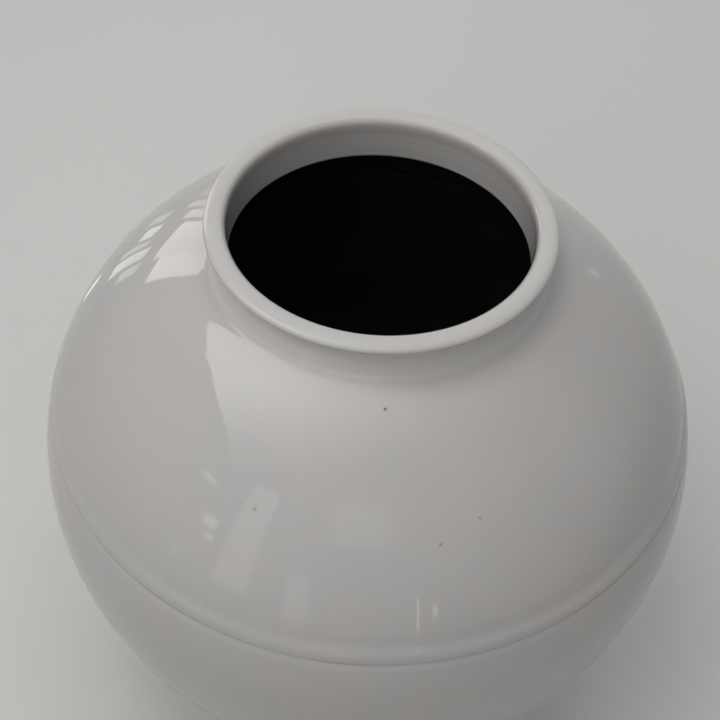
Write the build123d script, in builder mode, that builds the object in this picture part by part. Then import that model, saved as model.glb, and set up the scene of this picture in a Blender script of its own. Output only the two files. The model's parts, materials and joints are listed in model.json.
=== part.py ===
from build123d import *
from math import acos, cos, degrees, radians, sin, sqrt
import os

# Moon jar, in millimetres. The table is Z = 0 and the jar's axis is Z.
# Two thrown bowls are luted rim to rim, a collar is luted into the upper
# one and a foot ring under the lower one. Every section is drawn once, as
# radius and height, and turned round the axis.

# Body
belly_radius = 215.0      # outside radius at the widest line
widest_height = 226.0     # widest line above the table
shoulder_rise = 188.5     # half height of the ellipse that the shoulder follows
belly_drop = 222.5        # half height of the ellipse that the lower belly follows
taper_start_angle = 45.0  # where the belly leaves its ellipse for the taper, degrees
foot_slope = 32.0         # slope of the wall where the taper reaches the foot, degrees

# Walls
belly_wall = 8.5          # at the widest line
shoulder_wall = 6.3       # thinned towards the neck
lower_wall = 9.0          # thickened towards the foot
floor_thickness = 12.0
floor_inset = 2.0         # the flat floor inside ends this far within the foot
floor_fillet = 30.0

# Joint between the two bowls, and the band smoothed over it
band_rise = 53.0          # lower edge of the band above the widest line
band_height = 16.0
band_depth = 2.0          # rebate in both bowls that the band lies in
band_crown = 1.0          # how far the band stands out of the wall
band_groove = 0.6         # how far its lower edge lies behind the wall
rim_key = 2.5             # depth of the V tongue and groove
rim_chamfer = 1.5         # inner corner of each rim, filled with slip
rim_bead = 1.0            # slip standing into the jar

# Slip in every joint
slip = 1.2

# Neck and lip
mouth_radius = 88.5
collar_base = 14.5        # the collar's base ends this far outside the mouth
seat_width = 6.0          # bevel in the upper bowl that the collar sits in
seat_key = 0.8
neck_wall = 6.0
neck_rise = 25.5          # middle of the lip above the collar's base
waist_drop = 11.0         # narrowest ring of the neck below the middle of the lip
lip_width = 11.6
lip_thickness = 6.6
lip_set = 0.7             # the lip's inner edge stands back from the bore
lip_tuck_angle = 65.0     # how far the lip rolls under itself, degrees
throat_fillet = 3.5

# Foot
foot_radius = 82.5
foot_height = 13.0
foot_width = 12.5
foot_taper = 1.5          # drawn in towards the table on both sides
foot_shelf = 1.5          # the body overhangs the foot by this much
foot_fillet = 1.8
foot_key = 1.0


def on_ellipse(radius, long_radius, half_height):
    # height above the ellipse's middle
    return half_height * sqrt(1 - (radius / long_radius) ** 2)


def outer_radius(rise):
    return belly_radius * sqrt(1 - (rise / shoulder_rise) ** 2)


def inner_radius(rise):
    return inner_belly_radius * sqrt(1 - (rise / inner_shoulder_rise) ** 2)


def outer_shoulder(radius):
    # point on the outside of the shoulder
    return (radius, widest_height + on_ellipse(radius, belly_radius, shoulder_rise))


def inner_shoulder(radius):
    # point on the inside of the shoulder
    return (radius, widest_height + on_ellipse(radius, inner_belly_radius, inner_shoulder_rise))


def keyed(start, end, depth):
    # a joint face from start to end with a V pressed down in the middle
    middle = ((start[0] + end[0]) / 2, (start[1] + end[1]) / 2 - depth)
    return [start, middle, end]


def raised(points, rise):
    return [(radius, height + rise) for radius, height in points]


# Inner surface
inner_belly_radius = belly_radius - belly_wall
inner_shoulder_rise = shoulder_rise - shoulder_wall
inner_belly_drop = belly_drop - lower_wall
widest_middle = (0, widest_height)
floor_height = foot_height + floor_thickness
floor_radius = foot_radius - floor_inset
base_radius = foot_radius + foot_shelf
into_foot = (-cos(radians(foot_slope)), -sin(radians(foot_slope)))

# Belly joint
band_low = (outer_radius(band_rise), widest_height + band_rise)
band_high_rise = band_rise + band_height
band_high = (outer_radius(band_high_rise), widest_height + band_high_rise)
rebate_low = (band_low[0] - band_depth, band_low[1])
rebate_high = (band_high[0] - band_depth, band_high[1])
joint_rise = band_rise + band_height / 2
joint_height = widest_height + joint_rise
lower_rim_height = joint_height - slip / 2
upper_rim_height = joint_height + slip / 2


def on_rebate(height):
    # point on the straight rebate face behind the band
    share = (height - rebate_low[1]) / (rebate_high[1] - rebate_low[1])
    return (rebate_low[0] + share * (rebate_high[0] - rebate_low[0]), height)


lower_outer_rim = on_rebate(lower_rim_height)
upper_outer_rim = on_rebate(upper_rim_height)
inner_rim_radius = inner_radius(joint_rise) + rim_chamfer
lower_rim = keyed(lower_outer_rim, (inner_rim_radius, lower_rim_height), rim_key)
upper_rim = keyed(upper_outer_rim, (inner_rim_radius, upper_rim_height), rim_key)
lower_chamfer_rise = joint_rise - slip / 2 - rim_chamfer
upper_chamfer_rise = joint_rise + slip / 2 + rim_chamfer
lower_chamfer = (inner_radius(lower_chamfer_rise), widest_height + lower_chamfer_rise)
upper_chamfer = (inner_radius(upper_chamfer_rise), widest_height + upper_chamfer_rise)

# Neck joint: the bowl's bevel, and the collar's bevel one slip further in
collar_radius = mouth_radius + collar_base
bowl_bevel = keyed(outer_shoulder(collar_radius), inner_shoulder(collar_radius - seat_width), seat_key)
collar_bevel = keyed(
    outer_shoulder(collar_radius - slip),
    inner_shoulder(collar_radius - slip - seat_width),
    seat_key,
)

# Foot joint
foot_seat_inside = (foot_radius - foot_width, foot_height)
foot_seat_outside = (foot_radius, foot_height)
foot_seat = keyed(foot_seat_inside, foot_seat_outside, -foot_key)
foot_top = raised(foot_seat, -slip)


def shoulder_arc(radius_start, radius_end, long_radius, half_height):
    # stretch of a shoulder ellipse between two radii
    start = degrees(acos(radius_start / long_radius))
    end = degrees(acos(radius_end / long_radius))
    return EllipticalCenterArc(
        widest_middle, long_radius, half_height, start_angle=start, arc_size=end - start
    )


# Lower bowl, with the floor
with BuildPart() as lower_bowl:
    with BuildSketch(Plane.XZ) as lower_section:
        with BuildLine():
            Line((0, foot_height), foot_seat_inside)
            Polyline(*foot_seat)
            Line(foot_seat_outside, (base_radius, foot_height))
            belly = EllipticalCenterArc(
                widest_middle, belly_radius, belly_drop, start_angle=0, arc_size=-taper_start_angle
            )
            Spline(belly @ 1, (base_radius, foot_height), tangents=(belly % 1, into_foot))
            shoulder_arc(band_low[0], belly_radius, belly_radius, shoulder_rise)
            Polyline(band_low, rebate_low, lower_outer_rim)
            Polyline(*lower_rim)
            Line(lower_rim[-1], lower_chamfer)
            shoulder_arc(lower_chamfer[0], inner_belly_radius, inner_belly_radius, inner_shoulder_rise)
            hollow = EllipticalCenterArc(
                widest_middle,
                inner_belly_radius,
                inner_belly_drop,
                start_angle=0,
                arc_size=-taper_start_angle,
            )
            Spline(hollow @ 1, (floor_radius, floor_height), tangents=(hollow % 1, into_foot))
            Polyline((floor_radius, floor_height), (0, floor_height), (0, foot_height))
        make_face()
        floor_corner = lower_section.vertices().sort_by_distance((floor_radius, floor_height, 0))[0]
        fillet(floor_corner, floor_fillet)
    revolve(axis=Axis.Z)
lower_bowl.part.label = "lower_bowl"

# Upper bowl, thrown the other way up and opened for the neck
with BuildPart() as upper_bowl:
    with BuildSketch(Plane.XZ):
        with BuildLine():
            shoulder_arc(band_high[0], collar_radius, belly_radius, shoulder_rise)
            Polyline(*bowl_bevel)
            shoulder_arc(bowl_bevel[-1][0], upper_chamfer[0], inner_belly_radius, inner_shoulder_rise)
            Line(upper_chamfer, upper_rim[-1])
            Polyline(*upper_rim)
            Polyline(upper_outer_rim, rebate_high, band_high)
        make_face()
    revolve(axis=Axis.Z)
upper_bowl.part.label = "upper_bowl"

# Slip in the belly joint, with the band outside and the bead inside
band_start = (band_low[0] - band_groove, band_low[1])
band_middle = (outer_radius(joint_rise) + band_crown, joint_height)
bead_middle = (inner_radius(joint_rise) - rim_bead, joint_height)
with BuildPart() as belly_slip:
    with BuildSketch(Plane.XZ):
        with BuildLine():
            ThreePointArc(band_start, band_middle, band_high)
            Polyline(band_high, rebate_high, upper_outer_rim)
            Polyline(*upper_rim)
            Line(upper_rim[-1], upper_chamfer)
            ThreePointArc(upper_chamfer, bead_middle, lower_chamfer)
            Line(lower_chamfer, lower_rim[-1])
            Polyline(*lower_rim)
            Polyline(lower_outer_rim, rebate_low, band_start)
        make_face()
    revolve(axis=Axis.Z)
belly_slip.part.label = "belly_slip"

# Collar: the neck with its rolled lip
lip_radius = mouth_radius + lip_set + lip_width / 2
lip_height = outer_shoulder(collar_radius)[1] + neck_rise
waist = (mouth_radius + neck_wall, lip_height - waist_drop)
collar_foot = collar_bevel[0]
underside = (mouth_radius, inner_shoulder(mouth_radius)[1])
shoulder_edge = shoulder_arc(collar_radius, collar_foot[0], belly_radius, shoulder_rise)
with BuildPart() as mouth_collar:
    with BuildSketch(Plane.XZ) as collar_section:
        with BuildLine():
            lip = EllipticalCenterArc(
                (lip_radius, lip_height),
                lip_width / 2,
                lip_thickness / 2,
                start_angle=-lip_tuck_angle,
                arc_size=180 + lip_tuck_angle,
            )
            Spline(collar_foot, waist, lip @ 0, tangents=(shoulder_edge % 1, lip % 0))
            Line(lip @ 1, underside)
            shoulder_arc(
                underside[0], collar_bevel[-1][0], inner_belly_radius, inner_shoulder_rise
            )
            Polyline(*collar_bevel)
        make_face()
        throat_corner = collar_section.vertices().sort_by_distance((*underside, 0))[0]
        fillet(throat_corner, throat_fillet)
    revolve(axis=Axis.Z)
mouth_collar.part.label = "mouth_collar"

# Slip round the collar
with BuildPart() as neck_slip:
    with BuildSketch(Plane.XZ):
        with BuildLine():
            Polyline(*bowl_bevel, *reversed(collar_bevel), close=True)
        make_face()
    revolve(axis=Axis.Z)
neck_slip.part.label = "neck_slip"

# Foot ring
foot_inner_bottom = (foot_radius - foot_width + foot_taper, 0)
foot_outer_bottom = (foot_radius - foot_taper, 0)
with BuildPart() as foot_ring:
    with BuildSketch(Plane.XZ) as foot_section:
        with BuildLine():
            Polyline(*foot_top, foot_outer_bottom, foot_inner_bottom, close=True)
        make_face()
        fillet(foot_section.vertices().group_by(Axis.Y)[0], foot_fillet)
    revolve(axis=Axis.Z)
foot_ring.part.label = "foot_ring"

# Slip over the foot ring
with BuildPart() as foot_slip:
    with BuildSketch(Plane.XZ):
        with BuildLine():
            Polyline(*foot_seat, *reversed(foot_top), close=True)
        make_face()
    revolve(axis=Axis.Z)
foot_slip.part.label = "foot_slip"

os.makedirs("parts", exist_ok=True)
for piece in (lower_bowl, upper_bowl, belly_slip, mouth_collar, neck_slip, foot_ring, foot_slip):
    export_step(piece.part, f"parts/{piece.part.label}.step")
    print(piece.part.label, round(piece.part.volume), "mm3")
print("height", round(mouth_collar.part.bounding_box().max.Z, 1))
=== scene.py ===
import json
from math import asin, atan2, ceil, cos, degrees, hypot, pi, radians, sin, sqrt, tan

import bmesh
import bpy
from mathutils import Matrix, Vector

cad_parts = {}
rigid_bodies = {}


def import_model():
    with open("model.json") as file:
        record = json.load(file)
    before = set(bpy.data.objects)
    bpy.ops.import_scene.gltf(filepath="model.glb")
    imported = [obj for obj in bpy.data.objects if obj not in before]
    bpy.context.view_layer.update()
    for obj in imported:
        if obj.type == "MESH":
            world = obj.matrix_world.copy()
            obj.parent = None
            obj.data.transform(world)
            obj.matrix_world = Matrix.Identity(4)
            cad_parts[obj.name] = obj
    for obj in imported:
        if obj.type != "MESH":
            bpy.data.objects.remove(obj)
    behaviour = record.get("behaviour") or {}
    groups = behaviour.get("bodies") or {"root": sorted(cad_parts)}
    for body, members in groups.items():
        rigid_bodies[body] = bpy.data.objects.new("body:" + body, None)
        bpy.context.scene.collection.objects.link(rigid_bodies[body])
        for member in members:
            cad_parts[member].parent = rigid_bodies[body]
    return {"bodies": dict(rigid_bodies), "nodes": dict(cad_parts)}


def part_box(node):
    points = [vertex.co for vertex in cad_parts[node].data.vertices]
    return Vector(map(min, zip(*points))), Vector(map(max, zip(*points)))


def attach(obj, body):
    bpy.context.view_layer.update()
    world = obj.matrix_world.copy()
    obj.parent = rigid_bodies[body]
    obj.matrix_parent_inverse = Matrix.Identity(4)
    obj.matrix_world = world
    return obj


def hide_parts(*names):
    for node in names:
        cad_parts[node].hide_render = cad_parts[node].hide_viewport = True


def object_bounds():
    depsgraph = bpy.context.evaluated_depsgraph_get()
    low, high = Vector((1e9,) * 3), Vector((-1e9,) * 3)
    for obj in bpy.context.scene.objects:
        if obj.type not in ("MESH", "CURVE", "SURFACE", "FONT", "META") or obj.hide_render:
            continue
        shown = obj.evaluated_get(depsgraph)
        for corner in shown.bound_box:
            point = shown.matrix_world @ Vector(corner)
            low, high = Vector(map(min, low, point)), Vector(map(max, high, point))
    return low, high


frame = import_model()
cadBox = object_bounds()
jarBody = list(frame["bodies"])[0]
scene = bpy.context.scene
print("frame loaded with", len(frame["nodes"]), "nodes")

# The jar's own form, in metres, measured from the table up.
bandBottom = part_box("belly_slip")[0].z
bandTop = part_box("belly_slip")[1].z
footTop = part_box("foot_slip")[1].z
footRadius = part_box("foot_slip")[1].x
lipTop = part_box("mouth_collar")[1].z
jarForm = {
    "bellyRadius": cadBox[1].x,
    "widestHeight": 0.226,
    "shoulderRise": 0.1885,        # half height of the shoulder's ellipse
    "bellyDrop": 0.2225,           # half height of the lower belly's ellipse
    "taperAngle": 45,              # degrees below the widest line where the taper starts
    "footSlope": 32,               # degrees
    "bellyWall": 0.0085,
    "shoulderWall": 0.0063,
    "lowerWall": 0.009,
    "slip": 0.0012,                # thickness of the slip in a joint
    "neckSeam": 0.103,             # radius where the shoulder's glaze runs on to the collar
    "seamLift": 0.00015,           # glaze lying over the slip at the neck
    "seamFade": 0.012,
    "footWidth": 0.0125,
    "footKey": 0.001,              # ridge on top of the foot ring
    "insideRing": 4,               # the throwing rings are left bolder inside
    "handStarts": (0.013, 0.07),   # heights between which the wall starts to stray
    "handEnds": (0.36, 0.388),     # and between which it stops
}

# Inputs of the tree that turns every piece: how the wheel and the hand leave their mark.
throwing = {
    "segments": 360,
    "sway": 0.0011,        # slow unevenness of the wall
    "swaySize": 5.5,       # features per metre
    "ripple": 0.00016,
    "rippleSize": 30.0,
    "ring": 0.00009,       # throwing rings
    "ringPitch": 0.010,
    "wander": 0.0009,      # the belly band rises and falls
    "bandHeight": (bandBottom + bandTop) / 2,
    "seed": 4.0,
}

# What the tree keeps to itself. A noise is a scale and a detail. A range is a low and a high
# value, and what they become.
handwork = {
    "swayDetail": 1.0,
    "rippleDetail": 2.0,
    "ringNoise": (1.0, 1.0),
    "ringDrift": 0.35,                      # how much a ring changes on its way round
    "boldNoise": (1.6, 2.0),
    "boldRange": (0.3, 0.7, 0.55, 1.15),    # how boldly the band was left, from place to place
    "boldSide": 0.22,                       # bolder towards +X, and fainter towards -X
    "boldLeast": 0.3,
    "waveNoise": (2.2, 2.0),
    "waveReach": 0.02,
    "insideFrom": 0.51,                     # a face is inside if its corners average more
    "sharpFold": 40,                        # degrees
    "doublesWithin": 0.00001,
}

outerAxes = (jarForm["bellyRadius"], jarForm["shoulderRise"])
innerAxes = (outerAxes[0] - jarForm["bellyWall"], outerAxes[1] - jarForm["shoulderWall"])
outerBellyAxes = (jarForm["bellyRadius"], jarForm["bellyDrop"])
innerBellyAxes = (innerAxes[0], jarForm["bellyDrop"] - jarForm["lowerWall"])


def smooth(low, high, value):
    share = min(max((value - low) / (high - low), 0.0), 1.0)
    return share * share * (3 - 2 * share)


def wallRadius(height, axes=outerAxes):
    rise = (height - jarForm["widestHeight"]) / axes[1]
    return axes[0] * sqrt(1 - rise * rise)


def wallPoint(radius, axes=outerAxes):
    share = radius / axes[0]
    return (radius, jarForm["widestHeight"] + axes[1] * sqrt(1 - share * share))


def wallAngle(height, axes=outerAxes):
    return degrees(asin((height - jarForm["widestHeight"]) / axes[1]))


def arcRun(axes, start, end, step, middle=(0, jarForm["widestHeight"])):
    # points on an ellipse between two angles in degrees, about a step apart
    length = abs(radians(end - start)) * (axes[0] + axes[1]) / 2
    count = max(2, ceil(length / step))
    angles = [radians(start + (end - start) * i / count) for i in range(count + 1)]
    return [(middle[0] + axes[0] * cos(a), middle[1] + axes[1] * sin(a)) for a in angles]


def lineRun(start, end, step):
    count = max(1, ceil(hypot(end[0] - start[0], end[1] - start[1]) / step))
    return [tuple(s + (e - s) * i / count for s, e in zip(start, end)) for i in range(count + 1)]


def bezierRun(start, startPull, endPull, end, step):
    count = max(2, ceil(hypot(end[0] - start[0], end[1] - start[1]) / step))
    points = []
    for i in range(count + 1):
        t = i / count
        weights = ((1 - t) ** 3, 3 * t * (1 - t) ** 2, 3 * t * t * (1 - t), t ** 3)
        corners = zip(start, startPull, endPull, end)
        points.append(tuple(sum(w * c for w, c in zip(weights, axis)) for axis in corners))
    return points


def pulled(point, angle, length):
    return (point[0] + length * cos(radians(angle)), point[1] + length * sin(radians(angle)))


def bentRun(start, startBend, end, endBend, step):
    # a curve with an angle in degrees and a pull in metres at each end
    return bezierRun(start, pulled(start, *startBend), pulled(end, *endBend), end, step)


def slopeOf(start, end):
    return degrees(atan2(end[1] - start[1], end[0] - start[0]))


def addRun(section, points, **marks):
    # One stretch of a section. Every mark is a number, or a function of radius and height.
    for i, point in enumerate(points):
        before = points[max(0, i - 1)]
        after = points[min(len(points) - 1, i + 1)]
        along = Vector((after[0] - before[0], after[1] - before[1])).normalized()
        row = {"place": (point[0], 0, point[1]), "outward": (along.y, 0, -along.x)}
        for name in ("hand", "ring", "relief", "pool", "crest", "crease", "inside"):
            value = marks.get(name, 0)
            row[name] = value(*point) if callable(value) else value
        section.append(row)


def addObject(name, data):
    made = bpy.data.objects.new(name, data)
    scene.collection.objects.link(made)
    return made


def wire(tree, value, socket):
    # a socket is linked, anything else is set
    if isinstance(value, bpy.types.NodeSocket):
        tree.links.new(value, socket)
    else:
        socket.default_value = value


def addNode(tree, kind, inputs=None, **settings):
    made = tree.nodes.new(kind)
    for name, value in settings.items():
        setattr(made, name, value)
    for key, value in (inputs or {}).items():
        if value is not None:
            wire(tree, value, made.inputs[key])
    return made


def maths(tree, operation, first, second=0.0, clamp=False):
    inputs = {0: first, 1: second}
    return addNode(tree, "ShaderNodeMath", inputs, operation=operation, use_clamp=clamp).outputs[0]


def times(tree, first, *others):
    for other in others:
        first = maths(tree, "MULTIPLY", first, other)
    return first


def plus(tree, first, *others):
    for other in others:
        first = maths(tree, "ADD", first, other)
    return first


def minus(tree, first, second):
    return maths(tree, "SUBTRACT", first, second)


def divided(tree, first, second):
    return maths(tree, "DIVIDE", first, second)


def vectorMaths(tree, operation, first, second=None, scale=None):
    made = addNode(tree, "ShaderNodeVectorMath", {0: first, 1: second, "Scale": scale}, operation=operation)
    return made.outputs["Value" if operation in ("DISTANCE", "LENGTH") else "Vector"]


def axesOf(tree, vector):
    return addNode(tree, "ShaderNodeSeparateXYZ", {0: vector}).outputs


def vectorFrom(tree, axes):
    return addNode(tree, "ShaderNodeCombineXYZ", axes).outputs[0]


def mixColour(tree, factor, first, second):
    return addNode(tree, "ShaderNodeMix", {0: factor, 6: first, 7: second}, data_type="RGBA").outputs[2]


def ramp(tree, value, low, high, start=0.0, end=1.0, soft=True):
    limits = {"Value": value, "From Min": low, "From Max": high, "To Min": start, "To Max": end}
    kind = "SMOOTHSTEP" if soft else "LINEAR"
    return addNode(tree, "ShaderNodeMapRange", limits, interpolation_type=kind).outputs[0]


def noise(tree, vector, scale, detail, roughness=0.5, seed=None):
    inputs = {"Vector": vector, "Scale": scale, "Detail": detail, "Roughness": roughness}
    dimensions = "3D"
    if seed:
        inputs["W"] = seed
        dimensions = "4D"
    return addNode(tree, "ShaderNodeTexNoise", inputs, noise_dimensions=dimensions).outputs[0]


def shaken(tree, place, perMetre, width):
    # the place moved a little, so that a round mark gets a ragged edge
    inputs = {"Vector": place, "Scale": perMetre, "Detail": 1.0}
    shake = addNode(tree, "ShaderNodeTexNoise", inputs).outputs["Color"]
    shake = vectorMaths(tree, "SUBTRACT", shake, (0.5, 0.5, 0.5))
    return vectorMaths(tree, "ADD", place, vectorMaths(tree, "SCALE", shake, scale=width))


def cellsOf(tree, place, perMetre):
    # distance from the middle of a cell, in cells, and three chances that each cell has
    cells = addNode(tree, "ShaderNodeTexVoronoi", {"Vector": place, "Scale": perMetre}).outputs
    return cells["Distance"], addNode(tree, "ShaderNodeSeparateColor", {0: cells["Color"]}).outputs


def newGroup(name, kind, inputs, outputs):
    # A socket's default tells its kind. One without a default gives the kind itself.
    kinds = {int: "NodeSocketInt", float: "NodeSocketFloat", tuple: "NodeSocketColor"}
    tree = bpy.data.node_groups.new(name, kind)
    for way, sockets in (("INPUT", inputs), ("OUTPUT", outputs)):
        for label, default in sockets.items():
            socket = kinds.get(type(default), default)
            made = tree.interface.new_socket(name=label, in_out=way, socket_type=socket)
            if socket != default:
                made.default_value = default
    return tree, tree.nodes.new("NodeGroupInput").outputs, tree.nodes.new("NodeGroupOutput").inputs


def thrownForm():
    # Turns a section round the axis, then lets the wheel and the hand move the clay.
    body, paint = "NodeSocketGeometry", "NodeSocketMaterial"
    inputs = {"section": body, **throwing, "outside": paint, "inside": paint}
    tree, given, result = newGroup("thrownForm", "GeometryNodeTree", inputs, {"form": body})
    rows = addNode(
        tree, "GeometryNodeAttributeDomainSize", {0: given["section"]}, component="MESH"
    ).outputs["Point Count"]
    columns = plus(tree, given["segments"], 1)
    form = addNode(tree, "GeometryNodeMeshGrid", {"Vertices X": columns, "Vertices Y": rows}).outputs["Mesh"]
    index = addNode(tree, "GeometryNodeInputIndex").outputs[0]
    column = maths(tree, "FLOOR", divided(tree, plus(tree, index, 0.5), rows))
    row = minus(tree, index, times(tree, column, rows))
    angle = times(tree, divided(tree, column, given["segments"]), 2 * pi)

    def marked(name, kind="FLOAT"):
        read = addNode(tree, "GeometryNodeInputNamedAttribute", {"Name": name}, data_type=kind)
        return read.outputs["Attribute"]

    def fromSection(name, kind="FLOAT"):
        # reads one mark of the section at this row
        inputs = {0: given["section"], "Value": marked(name, kind), "Index": row}
        return addNode(tree, "GeometryNodeSampleIndex", inputs, data_type=kind).outputs["Value"]

    def turned(vector):
        return addNode(
            tree, "ShaderNodeVectorRotate", {"Vector": vector, "Angle": angle}, rotation_type="Z_AXIS"
        ).outputs[0]

    place = turned(fromSection("place", "FLOAT_VECTOR"))
    outward = turned(fromSection("outward", "FLOAT_VECTOR"))
    height = axesOf(tree, place)[2]
    around = turned((1.0, 0.0, 0.0))
    side = axesOf(tree, around)

    sway = noise(tree, place, given["swaySize"], handwork["swayDetail"], seed=given["seed"])
    ripple = noise(tree, place, given["rippleSize"], handwork["rippleDetail"], seed=given["seed"])
    strayed = plus(tree, times(tree, sway, given["sway"]), times(tree, ripple, given["ripple"]))
    rings = vectorFrom(tree, {
        0: times(tree, side[0], handwork["ringDrift"]),
        1: times(tree, side[1], handwork["ringDrift"]),
        2: divided(tree, height, given["ringPitch"]),
    })
    ringed = times(tree, noise(tree, rings, *handwork["ringNoise"]), given["ring"])
    inward = plus(
        tree, times(tree, fromSection("hand"), strayed), times(tree, fromSection("ring"), ringed)
    )

    uneven = ramp(tree, noise(tree, around, *handwork["boldNoise"]), *handwork["boldRange"])
    bold = plus(tree, times(tree, side[0], handwork["boldSide"]), uneven)
    relief = times(tree, fromSection("relief"), maths(tree, "MAXIMUM", bold, handwork["boldLeast"]))
    moved = vectorMaths(tree, "SCALE", outward, scale=minus(tree, relief, inward))
    wave = minus(tree, noise(tree, around, *handwork["waveNoise"]), 0.5)
    away = divided(tree, minus(tree, height, given["bandHeight"]), handwork["waveReach"])
    nearBand = maths(tree, "EXPONENT", times(tree, away, away, -1))
    lift = vectorFrom(tree, {2: times(tree, wave, given["wander"], nearBand)})
    moved = vectorMaths(tree, "ADD", place, vectorMaths(tree, "ADD", moved, lift))

    def worked(kind, inputs=None, **settings):
        return addNode(tree, kind, {"Geometry": form, **(inputs or {})}, **settings).outputs[0]

    form = worked("GeometryNodeSetPosition", {"Position": moved})
    marks = {name: fromSection(name) for name in ("pool", "crest", "crease", "inside")}
    # the crease mark, partly painted shade, is made stronger where the band is bolder, so it is darker
    # towards +X
    marks["crease"] = times(tree, marks["crease"], bold)
    for name, value in marks.items():
        inputs = {"Name": name, "Value": value}
        form = worked("GeometryNodeStoreNamedAttribute", inputs, data_type="FLOAT", domain="POINT")
    form = worked("GeometryNodeMergeByDistance", {"Distance": handwork["doublesWithin"]})
    form = worked("GeometryNodeSetShadeSmooth", domain="FACE")
    fold = addNode(tree, "GeometryNodeInputMeshEdgeAngle").outputs[0]
    sharp = maths(tree, "GREATER_THAN", fold, radians(handwork["sharpFold"]))
    form = worked("GeometryNodeSetShadeSmooth", {"Selection": sharp, "Shade Smooth": False}, domain="EDGE")
    form = worked("GeometryNodeRealizeInstances")
    form = worked("GeometryNodeSetMaterial", {"Material": given["outside"]})
    wasInside = maths(tree, "GREATER_THAN", marked("inside"), handwork["insideFrom"])
    form = worked("GeometryNodeSetMaterial", {"Selection": wasInside, "Material": given["inside"]})
    tree.links.new(form, result["form"])
    return tree


turningTree = thrownForm()


def throwPiece(name, section, outside, inside):
    # The section becomes a mesh of points, the tree turns it, and the result is kept as a plain mesh.
    profile = bpy.data.meshes.new(name + "Section")
    profile.from_pydata([p["place"] for p in section], [], [])
    for mark in section[0]:
        isVector = mark in ("place", "outward")
        layer = profile.attributes.new(mark, "FLOAT_VECTOR" if isVector else "FLOAT", "POINT")
        for i, point in enumerate(section):
            setattr(layer.data[i], "vector" if isVector else "value", point[mark])
    source = addObject(name + "Section", profile)
    modifier = source.modifiers.new("thrownForm", "NODES")
    modifier.node_group = turningTree
    values = {**throwing, "outside": outside, "inside": inside}
    for item in turningTree.interface.items_tree:
        if item.in_out == "INPUT" and item.name in values:
            modifier[item.identifier] = values[item.name]
    depsgraph = bpy.context.evaluated_depsgraph_get()
    mesh = bpy.data.meshes.new_from_object(
        source.evaluated_get(depsgraph), preserve_all_data_layers=True, depsgraph=depsgraph
    )
    if mesh.materials[0] is None:    # the turned mesh may come with an empty first slot
        mesh.materials.pop(index=0)
    source.modifiers.remove(modifier)
    bpy.data.objects.remove(source)
    bpy.data.meshes.remove(profile)
    work = bmesh.new()
    work.from_mesh(mesh)
    bmesh.ops.remove_doubles(work, verts=work.verts, dist=handwork["doublesWithin"])
    bmesh.ops.recalc_face_normals(work, faces=work.faces)
    openEdges = sum(1 for edge in work.edges if not edge.is_manifold)
    work.to_mesh(mesh)
    work.free()
    mesh.name = name
    print("thrown", name, "with", len(mesh.polygons), "faces and", openEdges, "open edges")
    return addObject(name, mesh)


# Camera at the photograph's place: the mouth is seen from above and in front.
cameraPlace = {
    "height": 0.8779,
    "distance": 0.5096,
    "pitch": 0.8523,     # looking down
    "yaw": -0.0153,
    "roll": 0.0576,
    "focalPixels": 1199.5,
    "frame": 720,
    "sensor": 36.0,
}
cameraSpot = Vector((0, -cameraPlace["distance"], cameraPlace["height"]))


def cameraAxes():
    down, side, roll = cameraPlace["pitch"], cameraPlace["yaw"], cameraPlace["roll"]
    ahead = Vector((sin(side) * cos(down), cos(side) * cos(down), -sin(down)))
    level = Vector((cos(side), -sin(side), 0))
    upright = level.cross(ahead)
    across = cos(roll) * level + sin(roll) * upright
    above = cos(roll) * upright - sin(roll) * level
    return across, above, ahead


def makeCamera():
    across, above, ahead = cameraAxes()
    lens = bpy.data.cameras.new("jarCamera")
    lens.sensor_width = cameraPlace["sensor"]
    lens.lens = cameraPlace["focalPixels"] * cameraPlace["sensor"] / cameraPlace["frame"]
    scene.camera = addObject("jarCamera", lens)
    turn = Matrix((across, above, -ahead)).transposed()
    scene.camera.matrix_world = Matrix.Translation(cameraSpot) @ turn.to_4x4()


def onShoulder(pixel):
    # the point of the glazed shoulder that a pixel of the photograph shows
    across, above, ahead = cameraAxes()
    half = cameraPlace["frame"] / 2
    ray = ahead + (pixel[0] - half) / cameraPlace["focalPixels"] * across
    ray -= (pixel[1] - half) / cameraPlace["focalPixels"] * above
    squash = Vector((1 / outerAxes[0], 1 / outerAxes[0], 1 / outerAxes[1]))
    start = (cameraSpot - Vector((0, 0, jarForm["widestHeight"]))) * squash
    ray = ray.normalized()
    step = ray * squash
    a, b, c = step.dot(step), start.dot(step), start.dot(start) - 1
    return cameraSpot + ray * ((-b - sqrt(b * b - a * c)) / a)


makeCamera()
print("camera placed")


# Effects that more than one finish uses, each with the values that are the same in all of them.

clouds = {
    "drift": (4.0, 0.55),        # detail and roughness
    "mottle": (3.0, 0.6),
    "mottleFiner": 5.3,
    "warmRange": (0.48, 0.72),
    "coolRange": (0.52, 0.3),
    "fleckRange": (0.5, 0.75),
    "fleckShare": 0.6,
}


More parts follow.
